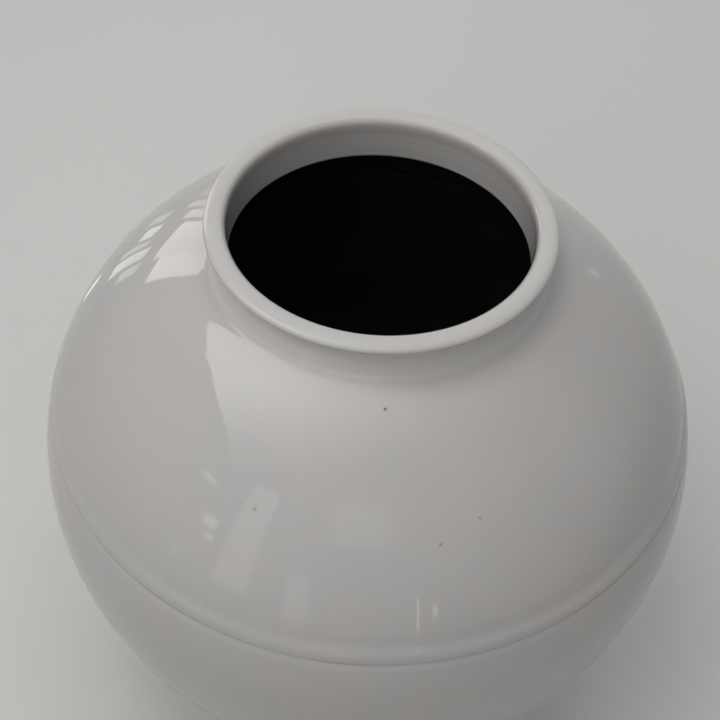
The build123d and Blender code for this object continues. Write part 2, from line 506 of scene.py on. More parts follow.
def glazeCloudsGroup():
    # slow drift of the milky glaze between a warmer and a cooler white
    tree, given, result = newGroup("glazeClouds", "ShaderNodeTree", {
        "Place": "NodeSocketVector",
        "Colour": (0.56, 0.545, 0.52, 1.0),
        "Warm": (0.6, 0.55, 0.48, 1.0),
        "Cool": (0.5, 0.53, 0.54, 1.0),
        "Clouds Per Metre": 9.0,
        "Amount": 0.3,
    }, {"Colour": "NodeSocketColor"})
    place, perMetre, amount = given["Place"], given["Clouds Per Metre"], given["Amount"]
    drift = noise(tree, place, perMetre, *clouds["drift"])
    finer = vectorMaths(tree, "SCALE", place, scale=clouds["mottleFiner"])
    mottle = noise(tree, finer, perMetre, *clouds["mottle"])
    warm = times(tree, ramp(tree, drift, *clouds["warmRange"]), amount)
    cool = times(tree, ramp(tree, drift, *clouds["coolRange"]), amount)
    fleck = times(tree, ramp(tree, mottle, *clouds["fleckRange"]), times(tree, amount, clouds["fleckShare"]))
    tone = mixColour(tree, warm, given["Colour"], given["Warm"])
    tone = mixColour(tree, cool, tone, given["Cool"])
    wire(tree, mixColour(tree, fleck, tone, given["Warm"]), result["Colour"])
    return tree


speckle = {
    "shake": (1400.0, 0.0005),         # per metre, and how wide
    "sizes": (0.0, 1.0, 0.45, 1.3),    # a speck's radius, as a share of the one given
    "core": (1.0, 0.6),                # in radii
    "halo": (2.6, 0.8, 0.0, 0.3),      # in radii, and how dark
    "haloTone": (0.3, 0.24, 0.17, 1),
}


def ironSpecksGroup():
    # small burnt-out grains of iron, each with a faint brown halo
    tree, given, result = newGroup("ironSpecks", "ShaderNodeTree", {
        "Place": "NodeSocketVector",
        "Colour": (0.5, 0.5, 0.5, 1.0),
        "Speck": (0.05, 0.035, 0.025, 1.0),
        "Cells Per Metre": 36.0,
        "Share": 0.1,
        "Radius": 0.0004,
    }, {"Colour": "NodeSocketColor", "Mask": "NodeSocketFloat"})
    ragged = shaken(tree, given["Place"], *speckle["shake"])
    distance, chances = cellsOf(tree, ragged, given["Cells Per Metre"])
    away = divided(tree, distance, given["Cells Per Metre"])
    chosen = maths(tree, "LESS_THAN", chances[0], given["Share"])
    reach = times(tree, given["Radius"], ramp(tree, chances[1], *speckle["sizes"], soft=False))
    core = times(tree, chosen, ramp(tree, divided(tree, away, reach), *speckle["core"]))
    halo = times(tree, chosen, ramp(tree, divided(tree, away, reach), *speckle["halo"]))
    tone = mixColour(tree, halo, given["Colour"], speckle["haloTone"])
    wire(tree, mixColour(tree, core, tone, given["Speck"]), result["Colour"])
    wire(tree, core, result["Mask"])
    return tree


meltedSkin = {
    "peelDetail": 2.0,
    "waveDetail": 3.0,
    "cellsPerMetre": 75.0,
    "pit": (0.00035, 0.0001),    # radii at which a pinhole starts and is at its deepest
}


def glazeSkinGroup():
    # height of the melted glaze in metres: faint orange peel over long soft waves, and pinholes
    tree, given, result = newGroup("glazeSkin", "ShaderNodeTree", {
        "Place": "NodeSocketVector",
        "Peel": 0.000004,
        "Peel Per Metre": 170.0,
        "Wave": 0.00003,
        "Wave Per Metre": 32.0,
        "Pinhole Share": 0.05,
        "Pinhole Depth": 0.00015,
    }, {"Height": "NodeSocketFloat", "Pinholes": "NodeSocketFloat"})
    peel = noise(tree, given["Place"], given["Peel Per Metre"], meltedSkin["peelDetail"])
    wave = noise(tree, given["Place"], given["Wave Per Metre"], meltedSkin["waveDetail"])
    melted = plus(tree, times(tree, peel, given["Peel"]), times(tree, wave, given["Wave"]))
    distance, chances = cellsOf(tree, given["Place"], meltedSkin["cellsPerMetre"])
    away = divided(tree, distance, meltedSkin["cellsPerMetre"])
    chosen = maths(tree, "LESS_THAN", chances[2], given["Pinhole Share"])
    pit = times(tree, chosen, ramp(tree, away, *meltedSkin["pit"]))
    wire(tree, minus(tree, melted, times(tree, pit, given["Pinhole Depth"])), result["Height"])
    wire(tree, pit, result["Pinholes"])
    return tree


turningLines = {
    "stretch": (0.02, 0.02, 1.0),    # long round the wall, fine up it
    "noise": (3.0, 0.6),             # detail and roughness
}


def turningLinesGroup():
    # fine lines that a turning tool or fingertips leave round the wall
    tree, given, result = newGroup("turningLines", "ShaderNodeTree", {
        "Place": "NodeSocketVector",
        "Lines Per Metre": 700.0,
        "Depth": 0.00003,
    }, {"Height": "NodeSocketFloat", "Tone": "NodeSocketFloat"})
    inputs = {"Vector": given["Place"], "Scale": turningLines["stretch"]}
    stretched = addNode(tree, "ShaderNodeMapping", inputs).outputs[0]
    line = noise(tree, stretched, given["Lines Per Metre"], *turningLines["noise"])
    wire(tree, times(tree, line, given["Depth"]), result["Height"])
    wire(tree, line, result["Tone"])
    return tree


groups = {
    "clouds": glazeCloudsGroup(),
    "specks": ironSpecksGroup(),
    "skin": glazeSkinGroup(),
    "lines": turningLinesGroup(),
}


def emptyTree(owner, output="ShaderNodeOutputMaterial"):
    # the owner's node tree, cleared, and the socket that its surface goes into
    owner.use_nodes = True
    owner.node_tree.nodes.clear()
    return owner.node_tree, owner.node_tree.nodes.new(output).inputs[0]


def newMaterial(name):
    material = bpy.data.materials.new(name)
    tree, surface = emptyTree(material)
    shader = tree.nodes.new("ShaderNodeBsdfPrincipled")
    wire(tree, shader.outputs[0], surface)
    place = addNode(tree, "ShaderNodeTexCoord").outputs["Object"]
    return material, tree, shader, place


def useGroup(tree, name, place, values):
    return addNode(tree, "ShaderNodeGroup", {"Place": place, **values}, node_tree=groups[name]).outputs


def finishWith(tree, shader, tone, rough, height):
    # the three things of a finish that change over the surface, with the height in metres
    wire(tree, tone, shader.inputs["Base Color"])
    wire(tree, rough, shader.inputs["Roughness"])
    bump = addNode(tree, "ShaderNodeBump", {"Height": height, "Distance": 1.0, "Strength": 1.0})
    wire(tree, bump.outputs[0], shader.inputs["Normal"])


# Milky white glaze over porcelain.
glaze = {
    "clouds": {
        "Colour": (0.56, 0.541, 0.529, 1),
        "Warm": (0.587, 0.546, 0.517, 1),
        "Cool": (0.53, 0.543, 0.54, 1),
        "Clouds Per Metre": 8.0,
        "Amount": 0.55,
    },
    "pooledAndPaintedLight": (0.71, 0.688, 0.67, 1),     # thick milky glaze round the neck, and painted light that makes the neck wall under the lip paler
    "paintedCreaseShade": (0.17, 0.16, 0.15, 1),     # dark line along the lower edge of the band, partly a dark joint and partly painted shade under the band; also the painted shade towards the throat
    "crest": (0.63, 0.614, 0.602, 1),     # painted light: paler colour over the crest of the lip
    "lines": {"Lines Per Metre": 420.0, "Depth": 0.000006},
    "streakRange": (0.35, 0.65, 0.16, 0.44),
    "strewn": {"Cells Per Metre": 24.0, "Share": 0.07, "Radius": 0.00042},
    # single iron specks that the photograph shows, as pixel and radius in metres
    "specks": (((254, 509), 0.0011), ((385, 409), 0.0008), ((441, 545), 0.0009),
               ((480, 518), 0.0007), ((221, 660), 0.0007)),
    "speckShake": (900.0, 0.0009),
    "speckTone": (0.06, 0.045, 0.035, 1),
    "speckCore": 0.55,                    # in radii of the speck
    "haloTone": (0.33, 0.28, 0.22, 1),
    "haloOuter": 2.2,                     # in radii too
    "haloInner": 0.8,
    "haloDepth": 0.4,
    "skin": {"Peel": 0.000012, "Peel Per Metre": 120.0, "Wave": 0.00005, "Wave Per Metre": 30.0},
    "pinholeTone": (0.3, 0.26, 0.21, 1),
    "pinholeDepth": 0.5,
    "smear": (14.0, 3.0),
    "smearRange": (0.35, 0.75, 0.035, 0.075),
    "rougher": {"crest": 0.10, "pool": 0.22, "speck": 0.3},    # what each mark adds
    "ior": 1.56,
}


def glazeMaterial():
    material, tree, shader, place = newMaterial("milkyGlaze")
    marks = {
        name: addNode(tree, "ShaderNodeAttribute", attribute_name=name).outputs["Fac"]
        for name in ("pool", "crease", "crest")
    }
    lines = useGroup(tree, "lines", place, glaze["lines"])
    # painted shade: the crease mark darkens the band's groove line and the bore towards the throat, in
    # streaks along the turning lines
    streak = ramp(tree, lines["Tone"], *glaze["streakRange"])
    paintedCreaseShade = maths(tree, "MULTIPLY", marks["crease"], streak, clamp=True)
    tone = useGroup(tree, "clouds", place, glaze["clouds"])["Colour"]
    tone = mixColour(tree, marks["pool"], tone, glaze["pooledAndPaintedLight"])
    tone = mixColour(tree, paintedCreaseShade, tone, glaze["paintedCreaseShade"])
    tone = mixColour(tree, marks["crest"], tone, glaze["crest"])
    specks = useGroup(tree, "specks", place, {"Colour": tone, **glaze["strewn"]})
    tone, mask = specks["Colour"], specks["Mask"]
    ragged = shaken(tree, place, *glaze["speckShake"])
    for pixel, size in glaze["specks"]:
        away = vectorMaths(tree, "DISTANCE", ragged, tuple(onShoulder(pixel)))
        reach = (size * glaze["haloOuter"], size * glaze["haloInner"])
        tone = mixColour(tree, ramp(tree, away, *reach, 0.0, glaze["haloDepth"]), tone, glaze["haloTone"])
        core = ramp(tree, away, size, size * glaze["speckCore"])
        tone = mixColour(tree, core, tone, glaze["speckTone"])
        mask = maths(tree, "MAXIMUM", mask, core)
    marks["speck"] = mask
    skin = useGroup(tree, "skin", place, glaze["skin"])
    pinholes = times(tree, skin["Pinholes"], glaze["pinholeDepth"])
    tone = mixColour(tree, pinholes, tone, glaze["pinholeTone"])
    rough = ramp(tree, noise(tree, place, *glaze["smear"]), *glaze["smearRange"])
    for name, more in glaze["rougher"].items():
        rough = plus(tree, rough, times(tree, marks[name], more))
    finishWith(tree, shader, tone, rough, plus(tree, skin["Height"], lines["Height"]))
    shader.inputs["IOR"].default_value = glaze["ior"]
    return material


# Dark inside of the jar, as the photograph shows it through the mouth.
# painted shade: the inside is coloured near black for the shade inside the jar
insidePaintedShade = {
    "dark": (0.020, 0.019, 0.018, 1),
    "dusty": (0.045, 0.041, 0.037, 1),
    "cloud": (22.0, 5.0, 0.6),
    "cloudRange": (0.35, 0.7),
    "cloudShare": 0.6,
    "lines": {"Lines Per Metre": 150.0, "Depth": 0.0004},
    "lineRange": (0.4, 0.7),
    "lineShare": 0.4,
    "roughRange": (0.3, 0.7, 0.5, 0.75),
    "grain": (900.0, 2.0),
    "grainHeight": 0.00008,
}


def paintedShadeInsideMaterial():
    material, tree, shader, place = newMaterial("paintedShadeInside")
    lines = useGroup(tree, "lines", place, insidePaintedShade["lines"])
    cloud = noise(tree, place, *insidePaintedShade["cloud"])
    dust = plus(
        tree,
        times(tree, ramp(tree, cloud, *insidePaintedShade["cloudRange"]), insidePaintedShade["cloudShare"]),
        times(tree, ramp(tree, lines["Tone"], *insidePaintedShade["lineRange"]), insidePaintedShade["lineShare"]),
    )
    tone = mixColour(tree, dust, insidePaintedShade["dark"], insidePaintedShade["dusty"])
    grain = times(tree, noise(tree, place, *insidePaintedShade["grain"]), insidePaintedShade["grainHeight"])
    rough = ramp(tree, cloud, *insidePaintedShade["roughRange"])
    finishWith(tree, shader, tone, rough, plus(tree, lines["Height"], grain))
    return material


# Fired clay without glaze, with sand in it.
clay = {
    "colour": (0.50, 0.43, 0.34, 1),
    "flash": (0.42, 0.27, 0.16, 1),    # toasted by the fire
    "flashNoise": (60.0, 4.0),
    "flashRange": (0.35, 0.7),
    "sand": (0.62, 0.58, 0.52, 1),
    "sandPerMetre": 900.0,
    "sandFrom": 0.72,                  # share of the cells that hold no light grain
    "sandRange": (0.5, 0.25),
    "sandHeight": 0.00012,
    "pores": (700.0, 3.0),
    "poreHeight": 0.00015,
}


def clayTone(tree, place):
    cloud = ramp(tree, noise(tree, place, *clay["flashNoise"]), *clay["flashRange"])
    distance, chances = cellsOf(tree, place, clay["sandPerMetre"])
    light = maths(tree, "GREATER_THAN", chances[0], clay["sandFrom"])
    grain = times(tree, light, ramp(tree, distance, *clay["sandRange"]))
    tone = mixColour(tree, grain, mixColour(tree, cloud, clay["colour"], clay["flash"]), clay["sand"])
    pores = times(tree, noise(tree, place, *clay["pores"]), clay["poreHeight"])
    return tone, plus(tree, times(tree, grain, clay["sandHeight"]), pores)


# Foot ring: glaze down to a wavy edge, a toasted line, then bare clay where it stood in the kiln.
footFinish = {
    "clouds": {**glaze["clouds"], "Colour": glaze["pooledAndPaintedLight"], "Clouds Per Metre": 14.0, "Amount": 0.6},
    "specks": {"Cells Per Metre": 90.0, "Share": 0.12, "Radius": 0.0003},
    "bareHeight": 0.0026,    # the glaze was wiped off below this height
    "edgeNoise": (70.0, 2.0),
    "edgeDrop": -0.0014,     # how far the noise moves the edge
    "edgeSoft": 0.0003,
    "toastReach": 0.0012,    # toasted this far above the bare clay
    "toastShare": 0.55,
    "roughRange": (0.0, 1.0, 0.12, 0.85),
    "skin": {"Peel": 0.00001},
}


def footMaterial():
    material, tree, shader, place = newMaterial("footGlaze")
    glazed = useGroup(tree, "clouds", place, footFinish["clouds"])["Colour"]
    glazed = useGroup(tree, "specks", place, {"Colour": glazed, **footFinish["specks"]})["Colour"]
    bareTone, bareHeight = clayTone(tree, place)
    wavy = times(tree, noise(tree, place, *footFinish["edgeNoise"]), footFinish["edgeDrop"])
    edge = plus(tree, axesOf(tree, place)[2], wavy)
    line = footFinish["bareHeight"]
    bare = ramp(tree, edge, line, line - footFinish["edgeSoft"])
    toasted = times(tree, ramp(tree, edge, line + footFinish["toastReach"], line), footFinish["toastShare"])
    tone = mixColour(tree, bare, mixColour(tree, toasted, glazed, clay["flash"]), bareTone)
    skin = useGroup(tree, "skin", place, footFinish["skin"])
    height = plus(tree, skin["Height"], times(tree, bare, bareHeight))
    finishWith(tree, shader, tone, ramp(tree, bare, *footFinish["roughRange"]), height)
    return material


# Slip squeezed out of a joint: the same clay, paler, wiped with a wet finger.
slip = {
    "pale": (0.56, 0.53, 0.48, 1),
    "paleShare": 0.7,
    "lines": {"Lines Per Metre": 900.0, "Depth": 0.00008},
    "lineRange": (0.5, 0.8, 0.0, 0.3),
    "roughRange": (0.3, 0.7, 0.45, 0.7),
    "clayHeight": 0.4,
}


def slipMaterial():
    material, tree, shader, place = newMaterial("firedSlip")
    bareTone, bareHeight = clayTone(tree, place)
    lines = useGroup(tree, "lines", place, slip["lines"])
    tone = mixColour(tree, slip["paleShare"], bareTone, slip["pale"])
    tone = mixColour(tree, ramp(tree, lines["Tone"], *slip["lineRange"]), tone, clay["colour"])
    rough = ramp(tree, lines["Tone"], *slip["roughRange"])
    height = plus(tree, lines["Height"], times(tree, bareHeight, slip["clayHeight"]))
    finishWith(tree, shader, tone, rough, height)
    return material


milkyGlaze = glazeMaterial()
paintedShadeInside = paintedShadeInsideMaterial()
footGlaze = footMaterial()
firedSlip = slipMaterial()
print("finishes made")


# Joint of the two rims, and the band that was smoothed over it. Depths are measured from the wall.
joint = {
    "key": 0.0025,       # V tongue and groove
    "chamfer": 0.0015,
    "bead": 0.001,       # slip that stands out inside
    "rebate": 0.002,
}
band = {
    "crown": 0.0005,
    "crownHeight": 0.005,     # above the groove
    "groove": 0.00055,
    "grooveWidth": 0.0016,
    "grooveEase": 0.005,      # how far below the seam the groove runs out
    "valley": 0.00045,
    "valleyHeight": 0.0125,
    "valleyWidth": 0.008,
    "creaseWidth": 0.0012,
    "step": 0.00035,
}
rimInner = wallRadius(throwing["bandHeight"], innerAxes) + joint["chamfer"]
bandFoot = (wallRadius(bandBottom), bandBottom)
bandHead = (wallRadius(bandTop), bandTop)
rebateFoot = (bandFoot[0] - joint["rebate"], bandBottom)
rebateHead = (bandHead[0] - joint["rebate"], bandTop)


def rimFace(height):
    # V face of a rim, from its outer edge to its inner edge
    share = (height - rebateFoot[1]) / (rebateHead[1] - rebateFoot[1])
    outer = (rebateFoot[0] + share * (rebateHead[0] - rebateFoot[0]), height)
    middle = ((outer[0] + rimInner) / 2, height - joint["key"])
    return [outer, middle, (rimInner, height)]


lowerRim = rimFace(throwing["bandHeight"] - jarForm["slip"] / 2)
upperRim = rimFace(throwing["bandHeight"] + jarForm["slip"] / 2)
lowerChamfer = lowerRim[0][1] - joint["chamfer"]
upperChamfer = upperRim[0][1] + joint["chamfer"]


def bandRelief(radius, height):
    up = height - bandBottom
    if up < 0:
        return -band["groove"] * (1 - smooth(0, band["grooveEase"], -up))
    swell = smooth(0, band["crownHeight"], up) * (1 - smooth(band["crownHeight"], band["valleyHeight"], up))
    groove = 1 - smooth(0, band["grooveWidth"], up)
    dip = 1 - smooth(0, band["valleyWidth"], abs(up - band["valleyHeight"]))
    return band["crown"] * swell - band["groove"] * groove - band["valley"] * dip


# the dark line in the band's groove: partly a dark joint, partly painted shade under the band's lower edge
def grooveLineAndPaintedShade(radius, height):
    return 1 - smooth(0, band["creaseWidth"], abs(height - bandBottom))


def bodyHand(radius, height):
    # how freely the wall may stray: not at the foot and not at the neck
    return smooth(*jarForm["handStarts"], height) * (1 - smooth(*jarForm["handEnds"], height))


bodyMarks = {"hand": bodyHand, "ring": bodyHand, "relief": bandRelief}


def liftedSeam(points):
    # glaze builds up over the neck joint and hides the slip in it
    lifted = []
    for radius, height in points:
        share = 1 - smooth(0, jarForm["seamFade"], abs(radius - jarForm["neckSeam"]))
        lifted.append((radius, height + jarForm["seamLift"] * share))
    return lifted


# Lower bowl: its section runs out along the underside, up the outside and back down the inside.
lowerBowlShape = {
    "outsideStep": 0.0021,
    "insideStep": 0.0055,
    "edgeReach": 0.0055,      # fine rows this near to the groove
    "edgeStep": 0.0004,
    "overhang": 0.0015,       # the body stands out over the foot
    "shelfPool": 0.7,
    "floor": 0.012,
    "floorInset": 0.002,
    "floorFillet": 0.03,
    "filletRound": 0.6,
    "flatStep": 0.006,
    "shelfStep": 0.0005,
}


def bellyRun(corner, axes, step):
    # from the foot up a taper to the belly's ellipse, then along it to the widest line
    belly = arcRun(axes, -jarForm["taperAngle"], 0, step)
    turn = radians(jarForm["taperAngle"])
    slope = degrees(atan2(axes[1] * cos(turn), axes[0] * sin(turn)))
    pull = hypot(belly[0][0] - corner[0], belly[0][1] - corner[1]) / 3
    return bentRun(corner, (jarForm["footSlope"], pull), belly[0], (slope, -pull), step) + belly[1:]


def makeLowerBowl():
    shape = lowerBowlShape
    seat = (footRadius - jarForm["footWidth"], footTop)
    key = (footRadius - jarForm["footWidth"] / 2, footTop + jarForm["footKey"])
    corner = (footRadius + shape["overhang"], footTop)
    section = []
    addRun(section, lineRun((0, footTop), seat, shape["flatStep"]))
    addRun(section, [seat, key, (footRadius, footTop)])
    addRun(section, lineRun((footRadius, footTop), corner, shape["shelfStep"]), pool=shape["shelfPool"])

    outside = bellyRun(corner, outerBellyAxes, shape["outsideStep"])
    edge = wallAngle(bandBottom - shape["edgeReach"])
    outside += arcRun(outerAxes, 0, edge, shape["outsideStep"])[1:]
    outside += arcRun(outerAxes, edge, wallAngle(bandBottom), shape["edgeStep"])[1:]
    addRun(section, outside, **bodyMarks, crease=grooveLineAndPaintedShade)
    addRun(section, [rebateFoot, *lowerRim])

    floorHeight = footTop + shape["floor"]
    floorCorner = (footRadius - shape["floorInset"], floorHeight)
    wall = bellyRun(floorCorner, innerBellyAxes, shape["insideStep"])
    wall += arcRun(innerAxes, 0, wallAngle(lowerChamfer, innerAxes), shape["insideStep"])[1:]
    reach = shape["floorFillet"] * tan(radians(jarForm["footSlope"]) / 2)
    pull = reach * shape["filletRound"]
    flatEnd = (floorCorner[0] - reach, floorHeight)
    risen = [p for p in wall if hypot(p[0] - floorCorner[0], p[1] - floorHeight) > reach]
    soft = bentRun(risen[0], (jarForm["footSlope"], -pull), flatEnd, (0, pull), shape["insideStep"] / 2)
    addRun(section, risen[::-1], ring=jarForm["insideRing"], inside=1)
    addRun(section, soft[1:-1], ring=jarForm["insideRing"], inside=1)
    addRun(section, lineRun(flatEnd, (0, floorHeight), shape["flatStep"]), inside=1)
    return throwPiece("lowerBowl", section, milkyGlaze, paintedShadeInside)


# Upper bowl: up the outside to the neck, back down the inside, and home along the rim.
upperBowlShape = {
    "outsideStep": 0.0013,
    "insideStep": 0.0045,
    "bevelIn": 0.006,
    "bevelKey": 0.0008,
    "bandReach": 0.004,       # rows follow the band's soft valley this far up
    "bandStep": 0.0005,
}


def bevelFace(radius):
    # keyed bevel between the outside and the inside of the shoulder
    outer, inner = wallPoint(radius), wallPoint(radius - upperBowlShape["bevelIn"], innerAxes)
    middle = ((outer[0] + inner[0]) / 2, (outer[1] + inner[1]) / 2 - upperBowlShape["bevelKey"])
    return [outer, middle, inner]


def makeUpperBowl():
    shape = upperBowlShape
    bevel = bevelFace(jarForm["neckSeam"])
    valley = wallAngle(bandTop + shape["bandReach"])
    outside = arcRun(outerAxes, wallAngle(bandTop), valley, shape["bandStep"])
    outside += arcRun(outerAxes, valley, wallAngle(bevel[0][1]), shape["outsideStep"])[1:]
    innerEnds = [wallAngle(height, innerAxes) for height in (bevel[-1][1], upperChamfer)]
    section = []
    addRun(section, liftedSeam(outside), **bodyMarks)
    addRun(section, bevel)
    addRun(section, arcRun(innerAxes, *innerEnds, shape["insideStep"]), ring=jarForm["insideRing"], inside=1)
    addRun(section, [*upperRim[::-1], rebateHead])
    addRun(section, [bandHead], **bodyMarks)
    section[-1]["outward"] = section[0]["outward"]
    return throwPiece("upperBowl", section, milkyGlaze, paintedShadeInside)


def makeBellyBand():
    # over the joint outside, in along one rim, round the bead inside and out along the other
    outside = arcRun(outerAxes, wallAngle(bandBottom), wallAngle(bandTop), band["step"])
    middle = (rimInner - joint["chamfer"] - joint["bead"], throwing["bandHeight"])
    top, bottom = ((wallRadius(height, innerAxes), height) for height in (upperChamfer, lowerChamfer))
    pulls = [((end[0] + middle[0] * 2) / 3, (end[1] + middle[1]) / 2) for end in (top, bottom)]
    section = []
    addRun(section, outside, **bodyMarks, crease=grooveLineAndPaintedShade)
    addRun(section, [rebateHead, *upperRim])
    addRun(section, bezierRun(top, *pulls, bottom, band["step"]), inside=1)
    addRun(section, [*lowerRim[::-1], rebateFoot])
    section.append(section[0])
    return throwPiece("bellyBand", section, milkyGlaze, paintedShadeInside)


# Collar: the wall of the neck rises from a tight crease in the shoulder and rolls into the lip.
collar = {
    "lipMiddle": 0.0952,
    "lipAcross": 0.0064,      # half width of the roll
    "lipUp": 0.0036,          # half thickness
    "lipTurn": 130,           # degrees where the roll opens into the flare of the bore
    "tuck": 58,               # degrees that the lip rolls under
    "tuckPull": 0.0037,
    "flareDeep": 0.0125,
    "flarePull": 0.0042,
    "waistRadius": 0.0945,
    "waistDrop": 0.011,
    "waistLean": 94.7,
    "waistPullBelow": 0.004,
    "waistPullAbove": 0.0033,
    "creaseRadius": 0.0993,
    "creaseOut": 0.0033,      # the crease is rounded from this far out on the shoulder
    "creaseUp": 0.0036,       # to this far up the wall
    "creaseRound": 0.6,
    "bore": 0.0885,
    "throatFillet": 0.0035,
    "slopeReach": 0.001,      # the slope under the throat is taken over this length
    "step": 0.0006,
    "boreStep": 0.0012,
    "hiddenStep": 0.002,
    "hand": 0.4,
    "handStarts": (0.394, 0.412),
    "boreRing": 1.4,
    "throatRing": 0.5,
    "crestLow": 0.0035,       # the crest of the lip starts this far under its top
    "crestHigh": 0.0002,
    "pool": 0.9,
    "poolStart": 0.011,
    "poolReach": 0.022,
    "poolInside": 0.0012,
    # painted shade in the bore: its share, and how much darker it gets at the throat's edge
    "paintedThroatShade": 0.38,
    "throatDark": 3.5,
    "throatEdge": 0.0016,
    "boreDeep": 0.018,
}


def collarHand(radius, height):
    return collar["hand"] * smooth(*collar["handStarts"], height)


# painted light: the crest of the lip is coloured paler than the glaze
def paintedLipCrestLight(radius, height):
    return smooth(lipTop - collar["crestLow"], lipTop - collar["crestHigh"], height)


def neckPoolAndPaintedLight(radius, height):
    # milky pooled glaze on the wall of the neck, and painted light that makes the wall paler, but not
    # outside the crease
    up = height - wallPoint(collar["creaseRadius"])[1]
    outside = smooth(-collar["poolInside"], collar["creaseOut"], radius - collar["creaseRadius"])
    return collar["pool"] * (1 - smooth(collar["poolStart"], collar["poolReach"], up)) * (1 - outside)


def paintedThroatShade(radius, height):
    # painted shade: the bore is coloured darker towards the throat
    risen = smooth(lipTop - collar["boreDeep"], lipTop - collar["lipUp"], height)
    return collar["paintedThroatShade"] * (1 - risen)


def throatEdge(radius, height):
    # painted shade that deepens at the throat's edge and runs out into the painted dark of the inside
    run = smooth(collar["bore"], collar["bore"] + collar["throatEdge"], radius)
    return collar["paintedThroatShade"] + collar["throatDark"] * run


def makeCollar():
    lipHeight = lipTop - collar["lipUp"]
    lipAxes = (collar["lipAcross"], collar["lipUp"])
    lipMiddle = (collar["lipMiddle"], lipHeight)
    lip = arcRun(lipAxes, -collar["tuck"], collar["lipTurn"], collar["step"], lipMiddle)
    waist = (collar["waistRadius"], lipHeight - collar["waistDrop"])
    footOuter = jarForm["neckSeam"] - jarForm["slip"]
    seam = wallPoint(jarForm["neckSeam"])

    crease = wallPoint(collar["creaseRadius"])
    creaseFoot = wallPoint(crease[0] + collar["creaseOut"])
    shoulderSlope, wallSlope = slopeOf(seam, wallPoint(footOuter)), slopeOf(crease, waist)
    creaseHead = pulled(crease, wallSlope, collar["creaseUp"])
    cove = bentRun(
        creaseFoot, (shoulderSlope, collar["creaseOut"] * collar["creaseRound"]),
        creaseHead, (wallSlope, -collar["creaseUp"] * collar["creaseRound"]), collar["step"] / 2,
    )
    cove += bentRun(
        creaseHead, (wallSlope, collar["waistPullBelow"]),
        waist, (collar["waistLean"], -collar["waistPullBelow"]), collar["step"],
    )[1:]
    neck = bentRun(
        waist, (collar["waistLean"], collar["waistPullAbove"]),
        lip[0], (slopeOf(lip[0], lip[1]), -collar["tuckPull"]), collar["step"],
    )
    outside = liftedSeam([seam, *cove]) + neck[1:] + lip[1:]

    under = wallPoint(collar["bore"], innerAxes)
    underNext = wallPoint(collar["bore"] + collar["slopeReach"], innerAxes)
    underSlope = radians(-slopeOf(under, underNext))
    fillet = collar["throatFillet"]
    throat = (collar["bore"] + fillet, under[1] + fillet / tan((pi / 2 + underSlope) / 2))
    boreTop = (collar["bore"], lipTop - collar["flareDeep"])
    bore = bentRun(
        lip[-1], (slopeOf(lip[-2], lip[-1]), collar["flarePull"]),
        boreTop, (90, collar["flarePull"]), collar["step"],
    )
    bore += lineRun(boreTop, (collar["bore"], throat[1]), collar["boreStep"])[1:]
    rounded = arcRun((fillet, fillet), 180, 270 - degrees(underSlope), collar["step"] / 2, throat)

    bevel = bevelFace(footOuter)
    section = []
    addRun(section, bevel[::-1])
    addRun(section, [seam])
    addRun(section, outside, hand=collarHand, ring=collarHand, pool=neckPoolAndPaintedLight, crest=paintedLipCrestLight)
    addRun(section, bore[1:], hand=collarHand, ring=collar["boreRing"], crease=paintedThroatShade)
    addRun(section, rounded[1:], ring=collar["throatRing"], crease=throatEdge)
    addRun(section, lineRun(rounded[-1], bevel[-1], collar["hiddenStep"])[:-1], inside=1)
    section.append(section[0])
    return throwPiece("mouthCollar", section, milkyGlaze, paintedShadeInside)


# Foot ring: rounded where it stands, with the ridge that keys it to the floor on top.
foot = {
    "taper": 0.0015,
    "fillet": 0.0018,
    "roll": 0.0003,           # bead of glaze that stopped above the wiped edge
    "rollHeight": 0.0044,
    "rollWidth": 0.0013,
    "step": 0.0005,
    "flatStep": 0.0015,
}


def footRoll(point, side):
    swell = 1 - smooth(0, foot["rollWidth"], abs(point[1] - foot["rollHeight"]))
    return (point[0] + side * foot["roll"] * swell, point[1])


def makeFootRing():
    top = footTop - jarForm["slip"]
    inner = footRadius - jarForm["footWidth"]
    lean = atan2(top, foot["taper"])
    turn = degrees(pi / 2 - lean)
    reach = foot["fillet"] * tan((pi - lean) / 2)
    outerMiddle = (footRadius - foot["taper"] - reach, foot["fillet"])
    innerMiddle = (inner + foot["taper"] + reach, foot["fillet"])
    radii = (foot["fillet"], foot["fillet"])
    outerCurve = arcRun(radii, -90, -turn, foot["step"], outerMiddle)
    innerCurve = arcRun(radii, 180 + turn, 270, foot["step"], innerMiddle)
    outerWall = [footRoll(p, 1) for p in lineRun(outerCurve[-1], (footRadius, top), foot["step"])]
    innerWall = [footRoll(p, -1) for p in lineRun((inner, top), innerCurve[0], foot["step"])]
    section = []
    addRun(section, lineRun(innerCurve[-1], outerCurve[0], foot["flatStep"]))
    addRun(section, outerCurve[1:] + outerWall[1:])
    addRun(section, [((footRadius + inner) / 2, top + jarForm["footKey"])])
    addRun(section, innerWall + innerCurve[1:])
    return throwPiece("footRing", section, footGlaze, footGlaze)


turned = {
    "lower_bowl": makeLowerBowl(),
    "upper_bowl": makeUpperBowl(),
    "belly_slip": makeBellyBand(),
    "mouth_collar": makeCollar(),
    "foot_ring": makeFootRing(),
}
for node, piece in turned.items():
    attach(piece, jarBody)
    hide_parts(node)
for node in ("neck_slip", "foot_slip"):
    frame["nodes"][node].data.materials.clear()
    frame["nodes"][node].data.materials.append(firedSlip)
print("pieces turned")


